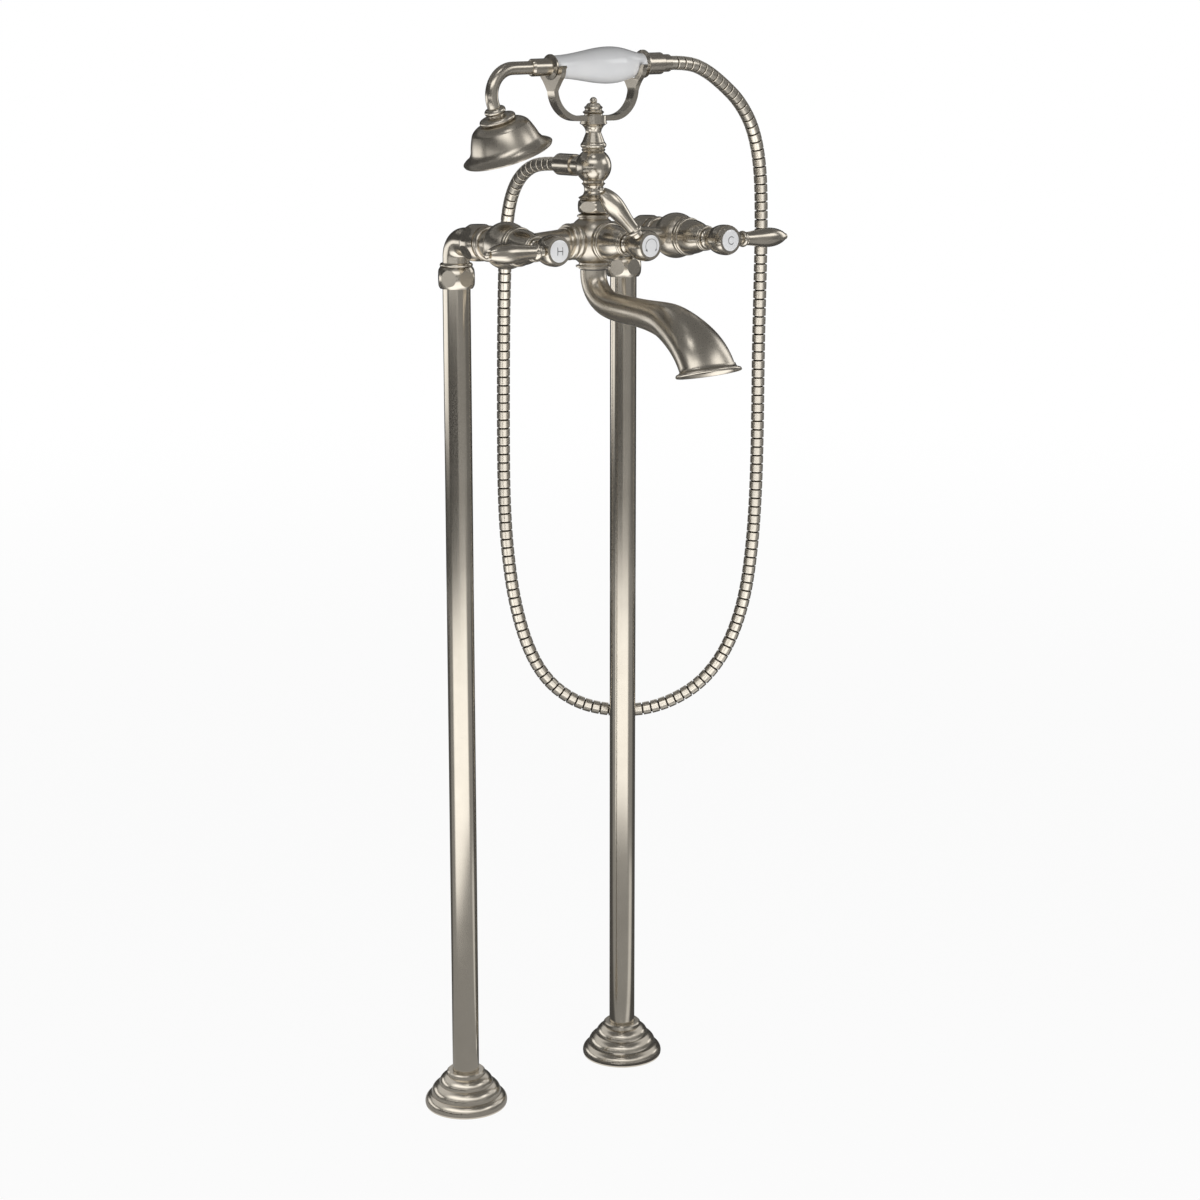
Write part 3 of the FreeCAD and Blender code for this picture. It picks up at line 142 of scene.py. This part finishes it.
# The nodes of each finish; all others are satin nickel
porcelain_nodes = ("handset_grip", "hot_index_disc", "cold_index_disc", "diverter_index_disc")
rubber_nodes = ("escutcheon_o_rings", "union_washers", "cartridge_seals", "spout_gasket", "riser_washer",
                "hose_inlet_washer", "hose_outlet_washer", "spray_nozzles")
brass_nodes = ("hot_cartridge", "cold_cartridge", "diverter_cartridge", "hot_stem", "cold_stem",
               "diverter_stem", "hot_floor_flange", "cold_floor_flange")
steel_nodes = ("hot_handle_screw", "cold_handle_screw", "diverter_handle_screw")
leg_nodes = ("hot_supply_leg", "cold_supply_leg")
broad_nodes = ("spout", "shower_bell", "manifold_body", "hot_valve_body", "cold_valve_body")

# Studio, in metres and degrees. Places are turned with the camera: x to its right, y away from it. The floor
# fades to white between two shares of its half.
studio_turn = math.radians(-camera_yaw)
studio_centre = Vector((0.05, -0.05, 0))
floor_half = 12.0
floor_drop = 0.0002
floor_colour = (0.92, 0.92, 0.92)
floor_glow = 0.94
fade_shares = (0.06, 0.40)
world_fill = 0.24
# Soft lamps: name, place, point aimed at, width and height, watts
lamp_rows = (
    ("key", (1.2, -1.7, 0.55), (0, 0, 0.95), (1.2, 1.0), 24),
    ("fill", (-1.7, -1.0, 0.8), (0, 0, 0.8), (0.8, 1.4), 7),
    ("top", (0.2, 0.5, 2.8), (0, 0, 0.8), (1.6, 1.0), 5),
)
# Reflector cards round the object, which only its reflections see, each in front of those before it: first
# and last angle from the camera's side to the left, distance and height of the inner and the outer edge,
# tone, the share of it that fades out at each edge, and its kind. A gridded card is seen only steeply and an
# under card only from below; hose cards light the hose alone, and flagged cards light all but the hose.
card_rows = (
    (0, 360, (2.4, 0.0), (2.4, 2.4), 0.085, (0.0, 0.0), "plain"),
    (225, 300, (2.4, 0.0), (2.4, 2.4), 0.20, (0.15, 0.0), "plain"),
    (280, 368, (2.4, 0.0), (2.4, 2.4), 0.33, (0.15, 0.0), "plain"),
    (132, 228, (2.4, 0.0), (2.4, 2.4), 0.05, (0.10, 0.0), "plain"),
    (74, 140, (2.4, 0.25), (2.4, 1.05), 1.45, (0.18, 0.25), "flagged"),
    (-12, 72, (2.4, 0.62), (2.4, 0.88), 1.4, (0.12, 0.15), "plain"),
    (222, 250, (2.4, 0.60), (2.4, 2.4), 1.55, (0.20, 0.15), "flagged"),
    (0, 360, (0.02, 0.001), (2.4, 0.001), 0.36, (0.0, 0.0), "plain"),
    (95, 265, (0.02, 0.001), (2.4, 0.001), 0.10, (0.10, 0.0), "plain"),
    (250, 296, (0.02, 0.001), (0.7, 0.001), 0.80, (0.30, 0.10), "plain"),
    (-60, 76, (0.66, 0.001), (2.6, 0.001), 1.7, (0.10, 0.14), "plain"),
    (-75, 85, (0.19, 0.30), (0.90, 0.30), 1.9, (0.15, 0.30), "gridded"),
    (60, 300, (0.20, 0.33), (0.80, 0.33), 0.75, (0.15, 0.25), "under"),
    (0, 360, (0.1, 2.5), (2.4, 2.4), 0.18, (0.0, 0.0), "plain"),
    (-30, 40, (2.1, 1.50), (1.5, 2.25), 1.9, (0.25, 0.30), "plain"),
    (262, 302, (2.2, 1.25), (1.7, 2.15), 1.9, (0.25, 0.30), "plain"),
    (-20, 20, (0.5, 2.3), (1.0, 2.3), 2.6, (0.25, 0.25), "plain"),
    (-56, 56, (2.4, 0.05), (2.4, 2.2), 0.75, (0.12, 0.10), "hose"),
    (146, 214, (2.4, 0.05), (2.4, 2.2), 0.50, (0.25, 0.10), "hose"),
)
grid_facing = (0.25, 0.60)
# A card's step in front of the one before it, as a share of its distance and as a rise, and its mesh:
# degrees to a quad, fewest quads across, quads up
card_step = 0.004
card_rise = 0.00008
card_quad_turn = 3
card_least_across = 12
card_up = 24


def node_maker(tree):
    """Maker of shader nodes with their sockets or settings given by name."""
    def make(kind, **settings):
        node = tree.nodes.new(kind)
        for key, value in settings.items():
            if key in node.inputs:
                node.inputs[key].default_value = value
            else:
                setattr(node, key, value)
        return node
    return make


def shader_tree(name, **values):
    """New material, its node maker and linker, and its shader with the given socket values."""
    material = bpy.data.materials.new(name)
    material.use_nodes = True
    tree = material.node_tree
    shader = tree.nodes["Principled BSDF"]
    for socket, value in values.items():
        shader.inputs[socket.replace("_", " ")].default_value = value
    return material, node_maker(tree), tree.links.new, shader


def set_surface(material, link, shader):
    """Makes a shader the material's surface in place of the first one."""
    output = next(node for node in material.node_tree.nodes if node.type == "OUTPUT_MATERIAL")
    link(shader.outputs["Shader"], output.inputs["Surface"])


def remap(make, link, value, given, wanted, **settings):
    """Maps a value from one range, low and high, to another."""
    node = make("ShaderNodeMapRange", **settings)
    for socket, number in zip(("From Min", "From Max", "To Min", "To Max"), (*given, *wanted)):
        node.inputs[socket].default_value = number
    link(value, node.inputs["Value"])
    return node.outputs["Result"]


def combine(make, link, operation, one, other):
    """Product, maximum or the like of two values."""
    node = make("ShaderNodeMath", operation=operation)
    link(one, node.inputs[0])
    link(other, node.inputs[1])
    return node.outputs[0]


def grain(make, link, noise, stretch=even_brushing):
    """Noise in the part's own coordinates, drawn out along one direction where a finish is brushed."""
    where = make("ShaderNodeTexCoord")
    mapping = make("ShaderNodeMapping")
    mapping.inputs["Scale"].default_value = stretch
    texture = make("ShaderNodeTexNoise", Scale=noise[0], Detail=noise[1], Roughness=noise_roughness)
    link(where.outputs["Object"], mapping.inputs["Vector"])
    link(mapping.outputs["Vector"], texture.inputs["Vector"])
    return texture.outputs["Fac"]


def tint(make, link, shader, factor, stops):
    """Base colour from a ramp through (place, colour) stops."""
    node = make("ShaderNodeValToRGB")
    elements = node.color_ramp.elements
    while len(elements) < len(stops):
        elements.new(stops[1][0])
    for element, (place, colour) in zip(elements, stops):
        element.position = place
        element.color = (*colour, 1)
    link(factor, node.inputs["Fac"])
    link(node.outputs["Color"], shader.inputs["Base Color"])


def tint_noise(make, link, shader, factor, tones):
    """Base colour between two tones over a noise's middle range."""
    tint(make, link, shader, factor, tuple(zip(noise_middle, tones)))


def roughen(make, link, shader, factor, rough):
    """Roughness between two values over a noise's middle range."""
    link(remap(make, link, factor, noise_middle, rough), shader.inputs["Roughness"])


def bump(make, link, shader, height, depth):
    """Relief of the given strength and height."""
    node = make("ShaderNodeBump", Strength=depth[0], Distance=depth[1])
    link(height, node.inputs["Height"])
    link(node.outputs["Normal"], shader.inputs["Normal"])


def brushed_metal(name, tones, rough, stretch=even_brushing):
    """Satin metal: a slow change of tone, fine brushing in roughness and bump."""
    material, make, link, shader = shader_tree(name, Metallic=1.0)
    tint_noise(make, link, shader, grain(make, link, tone_noise), tones)
    brushing = grain(make, link, brushing_noise, stretch)
    roughen(make, link, shader, brushing, rough)
    bump(make, link, shader, brushing, metal_bump)
    return material


def hose_metal():
    """Plated ribs, with painted shade darkening the grooves between them."""
    material, make, link, shader = shader_tree("hose_nickel", Metallic=1.0)
    crest = make("ShaderNodeAttribute", attribute_name="crest").outputs["Fac"]
    # Painted shade: the base colour goes near black in the grooves and lighter up the flanks, by crest share
    tint(make, link, shader, crest, hose_groove_shade_stops)
    fine = grain(make, link, hose_noise)
    roughen(make, link, shader, fine, hose_rough)
    bump(make, link, shader, fine, hose_bump)
    return material


def glazed_porcelain():
    """White body under a clear glaze that is not quite level."""
    material, make, link, shader = shader_tree(
        "glazed_porcelain", IOR=1.52, Coat_Weight=0.6, Coat_Roughness=0.04, Subsurface_Weight=0.08)
    shader.inputs["Subsurface Radius"].default_value = (glaze_depth, glaze_depth, glaze_depth)
    body = grain(make, link, glaze_noise)
    tint_noise(make, link, shader, body, glaze_tones)
    roughen(make, link, shader, body, glaze_rough)
    bump(make, link, shader, grain(make, link, glaze_wave), glaze_bump)
    return material


def soft_rubber():
    """Matt black rubber with a fine speck."""
    material, make, link, shader = shader_tree("soft_rubber", IOR=1.5)
    speck = grain(make, link, rubber_noise)
    tint_noise(make, link, shader, speck, rubber_tones)
    roughen(make, link, shader, speck, rubber_rough)
    bump(make, link, shader, speck, rubber_bump)
    return material


def mark_ink():
    """Fired grey enamel of the index marks."""
    material, make, link, shader = shader_tree("mark_enamel", IOR=1.5)
    speck = grain(make, link, ink_noise)
    tint_noise(make, link, shader, speck, ink_tones)
    roughen(make, link, shader, speck, ink_rough)
    return material


def finish_nodes():
    """Gives every node of the model its finish."""
    nickel = brushed_metal("satin_nickel", nickel_tones, nickel_rough)
    groups = (
        (porcelain_nodes, glazed_porcelain()),
        (rubber_nodes, soft_rubber()),
        (brass_nodes, brushed_metal("bare_brass", brass_tones, brass_rough)),
        (steel_nodes, brushed_metal("screw_steel", steel_tones, steel_rough)),
        (leg_nodes, brushed_metal("drawn_nickel", nickel_tones, drawn_rough, drawn_brushing)),
        (broad_nodes, brushed_metal("soft_nickel", nickel_tones, broad_rough)),
    )
    finishes = {}
    for group, finish in groups:
        finishes.update(dict.fromkeys(group, finish))
    for name, node in nodes.items():
        node.data.materials.clear()
        node.data.materials.append(finishes.get(name, nickel))


def new_piece(name, points, faces, material):
    """Smooth mesh object in the row frame."""
    mesh = bpy.data.meshes.new(name)
    mesh.from_pydata([tuple(point) for point in points], [], faces)
    mesh.materials.append(material)
    mesh.polygons.foreach_set("use_smooth", [True] * len(mesh.polygons))
    piece = bpy.data.objects.new(name, mesh)
    bpy.context.scene.collection.objects.link(piece)
    return piece


def point_values(piece, name, values):
    """Keeps one number for each point of a piece."""
    piece.data.attributes.new(name, "FLOAT", "POINT").data.foreach_set("value", values)


def hose_line():
    """Points along the hose's centre, read from a smooth spline with the route as its control points."""
    curve = bpy.data.curves.new("hose_line", "CURVE")
    curve.dimensions = "3D"
    curve.resolution_u = hose_line_steps
    spline = curve.splines.new("NURBS")
    spline.points.add(len(hose_route) - 1)
    for point, place in zip(spline.points, hose_route):
        point.co = (*place, 1)
    spline.order_u = 3
    spline.use_endpoint_u = True
    holder = bpy.data.objects.new("hose_line", curve)
    bpy.context.scene.collection.objects.link(holder)
    mesh = bpy.data.meshes.new_from_object(holder.evaluated_get(bpy.context.evaluated_depsgraph_get()))
    line = [vertex.co.copy() for vertex in mesh.vertices]
    bpy.data.objects.remove(holder)
    bpy.data.curves.remove(curve)
    bpy.data.meshes.remove(mesh)
    return line


def along(line, distances):
    """Place and direction at each distance along a line of points."""
    found = []
    index = 0
    passed = 0.0
    for distance in distances:
        while index < len(line) - 2 and passed + (line[index + 1] - line[index]).length < distance:
            passed += (line[index + 1] - line[index]).length
            index += 1
        step = line[index + 1] - line[index]
        share = (distance - passed) / step.length
        before = line[max(index - 1, 0)]
        after = line[min(index + 2, len(line) - 1)]
        found.append((line[index] + step * share, (after - before).normalized()))
    return found


def hose_rings(length):
    """Distance along the hose and crest share of every ring of its ribs."""
    count = round(length / hose_rib_pitch)
    pitch = length / count
    rings = [((rib + share) * pitch, crest) for rib in range(count) for share, crest in hose_rib_shares]
    return [*rings, (length, 0.0)]


def hose_mesh(line, rings):
    """Points of the ribbed tube, the crest share at each of them, and its faces with both ends closed."""
    points, crests, faces = [], [], []
    side = Vector((1, 0, 0))
    for (place, aim), (_, crest) in zip(along(line, [ring[0] for ring in rings]), rings):
        side = (side - aim * side.dot(aim)).normalized()
        other = aim.cross(side)
        radius = hose_groove_radius + crest * (hose_radius - hose_groove_radius)
        for k in range(hose_segments):
            angle = 2 * math.pi * k / hose_segments
            points.append(place + (side * math.cos(angle) + other * math.sin(angle)) * radius)
            crests.append(crest)
    for ring in range(len(rings) - 1):
        for k in range(hose_segments):
            a = ring * hose_segments + k
            b = ring * hose_segments + (k + 1) % hose_segments
            faces.append((a, b, b + hose_segments, a + hose_segments))
    last = (len(rings) - 1) * hose_segments
    faces.append(tuple(range(hose_segments - 1, -1, -1)))
    faces.append(tuple(range(last, last + hose_segments)))
    return points, crests, faces


def ribbed_hose():
    """Tube of ribs along the hose's line, with the rib's crest kept as an attribute for its colour, whose
    darker grooves are painted shade.
    """
    line = hose_line()
    length = sum((b - a).length for a, b in zip(line, line[1:]))
    points, crests, faces = hose_mesh(line, hose_rings(length))
    piece = new_piece("ribbed_hose", points, faces, hose_metal())
    point_values(piece, "crest", crests)
    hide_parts("hose")
    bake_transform(piece)
    return piece


def stroke(points, widths):
    """Flat band along 2-D points, with its width at each: its places and its quads."""
    places, quads = [], []
    for i, point in enumerate(points):
        before = points[max(i - 1, 0)]
        after = points[min(i + 1, len(points) - 1)]
        along_x, along_z = after[0] - before[0], after[1] - before[1]
        size = math.hypot(along_x, along_z)
        half = widths[i] / 2
        across = (-along_z / size * half, along_x / size * half)
        places += [(point[0] + across[0], point[1] + across[1]), (point[0] - across[0], point[1] - across[1])]
    for i in range(len(points) - 1):
        quads.append((2 * i, 2 * i + 1, 2 * i + 3, 2 * i + 2))
    return places, quads


def straight(start, end):
    """Points of a straight line."""
    shares = [i / line_steps for i in range(line_steps + 1)]
    return [tuple(a + (b - a) * share for a, b in zip(start, end)) for share in shares]


def arc(radius, first, last, steps=arc_steps):
    """Points of an arc, with angles in degrees from the bottom, to the right."""
    turns = [math.radians(first + (last - first) * i / steps) for i in range(steps + 1)]
    return [(radius * math.sin(turn), -radius * math.cos(turn)) for turn in turns]


def even_stroke(line, width):
    """A line with one width all along it."""
    return line, [width] * len(line)


def index_mark(name, node, body, strokes, ink):
    """Lays flat strokes on an index disc's dome."""
    low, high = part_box(node)
    centre_x, centre_z = (low.x + high.x) / 2, (low.z + high.z) / 2
    radius = (high.x - low.x) / 2
    ball = (radius ** 2 + disc_dome ** 2) / (2 * disc_dome)
    points, faces = [], []
    for line, widths in strokes:
        places, quads = stroke(line, widths)
        first = len(points)
        for x, z in places:
            sink = ball - math.sqrt(ball ** 2 - x ** 2 - z ** 2)
            points.append((centre_x + x, low.y + sink - mark_lift, centre_z + z))
        faces += [tuple(first + i for i in quad) for quad in quads]
    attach(new_piece(name, points, faces, ink), body)


def turning_arrow():
    """Open ring with an arrow's head at each end."""
    strokes = [even_stroke(arc(arc_radius, arc_opening, 360 - arc_opening), mark_width * arc_width_share)]
    reach = math.degrees(arrow_length / arc_radius)
    base = mark_width * arrow_width_share
    for start, sign in ((arc_opening, -1), (360 - arc_opening, 1)):
        head = arc(arc_radius, start, start + sign * reach, arrow_steps)
        strokes.append((head, [base * (1 - i / arrow_steps) + arrow_tip for i in range(arrow_steps + 1)]))
    return strokes


def index_marks():
    """H, C and a turning arrow: plain marks on the three discs."""
    ink = mark_ink()
    x, z = letter_width / 2, letter_height / 2
    bars = [straight((-x, -z), (-x, z)), straight((x, -z), (x, z)), straight((-x, 0), (x, 0))]
    letter_h = [even_stroke(bar, mark_width) for bar in bars]
    letter_c = [even_stroke(arc(z, *letter_c_turns), mark_width)]
    index_mark("hot_mark", "hot_index_disc", "hot_handle", letter_h, ink)
    index_mark("cold_mark", "cold_index_disc", "cold_handle", letter_c, ink)
    index_mark("diverter_mark", "diverter_index_disc", "diverter_handle", turning_arrow(), ink)


def view_camera():
    """Camera near the photograph's place, tilted in place of most of its shift."""
    data = bpy.data.cameras.new("camera")
    data.lens = camera_lens
    data.sensor_width = camera_sensor
    data.shift_y = camera_shift
    camera = bpy.data.objects.new("camera", data)
    camera.location = camera_place
    camera.rotation_euler = (math.radians(90 - camera_pitch), 0, math.radians(-camera_yaw))
    bpy.context.scene.collection.objects.link(camera)
    bpy.context.scene.camera = camera


def studio_place(x, y, z):
    """Point in the row frame of a place in the studio."""
    cos, sin = math.cos(studio_turn), math.sin(studio_turn)
    return studio_centre + Vector((x * cos - y * sin, x * sin + y * cos, z))


def seen_rays(make, link):
    """One for camera, glossy and transmitted rays, and zero for diffuse light."""
    path = make("ShaderNodeLightPath")
    total = path.outputs["Is Camera Ray"]
    for ray in ("Is Glossy Ray", "Is Transmission Ray"):
        total = combine(make, link, "MAXIMUM", total, path.outputs[ray])
    return total


def studio_world():
    """Surround that is white to the camera and in reflections, and dimmer as diffuse light."""
    world = bpy.data.worlds.new("studio")
    world.use_nodes = True
    world.cycles.sampling_method = "NONE"
    bpy.context.scene.world = world
    tree = world.node_tree
    make, link = node_maker(tree), tree.links.new
    sky = tree.nodes["Background"]
    sky.inputs["Color"].default_value = (1, 1, 1, 1)
    link(remap(make, link, seen_rays(make, link), (0, 1), (world_fill, 1)), sky.inputs["Strength"])


def studio_floor():
    """Pale floor that keeps the object's shadow near it and fades to the white background."""
    material, make, link, shader = shader_tree("pale_floor", Roughness=0.9, Specular_IOR_Level=0.0)
    shader.inputs["Base Color"].default_value = (*floor_colour, 1)
    far = make("ShaderNodeVectorMath", operation="LENGTH")
    link(make("ShaderNodeTexCoord").outputs["Object"], far.inputs[0])
    fade = remap(make, link, far.outputs["Value"], [share * floor_half for share in fade_shares],
                 (floor_glow, 1), interpolation_type="SMOOTHSTEP")
    mix = make("ShaderNodeMixShader")
    link(combine(make, link, "MULTIPLY", fade, seen_rays(make, link)), mix.inputs["Fac"])
    link(shader.outputs["BSDF"], mix.inputs[1])
    link(make("ShaderNodeEmission").outputs["Emission"], mix.inputs[2])
    set_surface(material, link, mix)
    corners = [(x * floor_half, y * floor_half, 0) for x, y in ((-1, -1), (1, -1), (1, 1), (-1, 1))]
    floor = new_piece("floor", corners, [(0, 1, 2, 3)], material)
    floor.location.z = -floor_drop


def studio_lamp(name, place, aim, size, power):
    """Soft rectangular lamp."""
    data = bpy.data.lights.new(name, "AREA")
    data.shape = "RECTANGLE"
    data.size, data.size_y = size
    data.energy = power
    lamp = bpy.data.objects.new(name, data)
    lamp.location = studio_place(*place)
    lamp.rotation_euler = (studio_place(*aim) - lamp.location).to_track_quat("-Z", "Y").to_euler()
    bpy.context.scene.collection.objects.link(lamp)
    lamp.visible_camera = False
    lamp.visible_glossy = False


def card_cover(make, link, kind):
    """How far a card covers at a point, seen the way its kind allows."""
    covered = make("ShaderNodeAttribute", attribute_name="cover").outputs["Fac"]
    if kind == "gridded":
        facing = make("ShaderNodeLayerWeight").outputs["Facing"]
        open_part = remap(make, link, facing, (grid_facing[1], grid_facing[0]), (0, 1))
        covered = combine(make, link, "MULTIPLY", covered, open_part)
    if kind == "under":
        below = make("ShaderNodeNewGeometry").outputs["Backfacing"]
        covered = combine(make, link, "MULTIPLY", covered, below)
    return covered


def card_shader(name, tone, kind):
    """Even glow where a card covers, and clear elsewhere.

    A card that lights some pieces only adds its glow to what is behind it.
    """
    material, make, link, _ = shader_tree(name)
    material.cycles.emission_sampling = "NONE"
    card = make("ShaderNodeEmission", Color=(tone, tone, tone, 1))
    covered = card_cover(make, link, kind)
    if kind in ("hose", "flagged"):
        mix = make("ShaderNodeAddShader")
        link(covered, card.inputs["Strength"])
    else:
        mix = make("ShaderNodeMixShader")
        link(covered, mix.inputs["Fac"])
    link(make("ShaderNodeBsdfTransparent").outputs["BSDF"], mix.inputs[-2])
    link(card.outputs["Emission"], mix.inputs[-1])
    set_surface(material, link, mix)
    return material


def light_for(piece, kind, hose):
    """Lets a card light the hose alone, or all but the hose."""
    lit = bpy.data.collections.new(f"{piece.name}_lit")
    lit.objects.link(hose)
    lit.collection_objects[0].light_linking.link_state = "INCLUDE" if kind == "hose" else "EXCLUDE"
    piece.light_linking.receiver_collection = lit


def fade_cover(share, soft):
    """How far a card covers at a share of its width: nothing at a soft edge, all of it inside."""
    edge = min(share, 1 - share)
    return 1.0 if edge >= soft else (1 - math.cos(math.pi * edge / soft)) / 2


def studio_card(i, row, hose):
    """Reflector card with soft edges, as a photographer sets round shiny metal."""
    first, last, inner, outer, tone, soft, kind = row
    across = max(card_least_across, round((last - first) / card_quad_turn))
    corners, cover = [], []
    for k in range(across + 1):
        angle = math.radians(first + (last - first) * k / across)
        for m in range(card_up + 1):
            away = (inner[0] + (outer[0] - inner[0]) * m / card_up) * (1 - i * card_step)
            height = inner[1] + (outer[1] - inner[1]) * m / card_up + i * card_rise
            corners.append(studio_place(-away * math.sin(angle), -away * math.cos(angle), height))
            cover.append(fade_cover(k / across, soft[0]) * fade_cover(m / card_up, soft[1]))
    row_size = card_up + 1
    starts = [k * row_size + m for k in range(across) for m in range(card_up)]
    faces = [(a, a + row_size, a + row_size + 1, a + 1) for a in starts]
    piece = new_piece(f"card_{i}", corners, faces, card_shader(f"card_{i}", tone, kind))
    point_values(piece, "cover", cover)
    for rays in ("camera", "diffuse", "shadow", "transmission", "volume_scatter"):
        setattr(piece, f"visible_{rays}", False)
    if kind in ("hose", "flagged"):
        light_for(piece, kind, hose)


finish_nodes()
ribbed = ribbed_hose()
index_marks()
view_camera()
studio_world()
studio_floor()
for lamp_row in lamp_rows:
    studio_lamp(*lamp_row)
for number, card_row in enumerate(card_rows):
    studio_card(number, card_row, ribbed)
bpy.context.scene.view_settings.view_transform = "Standard"
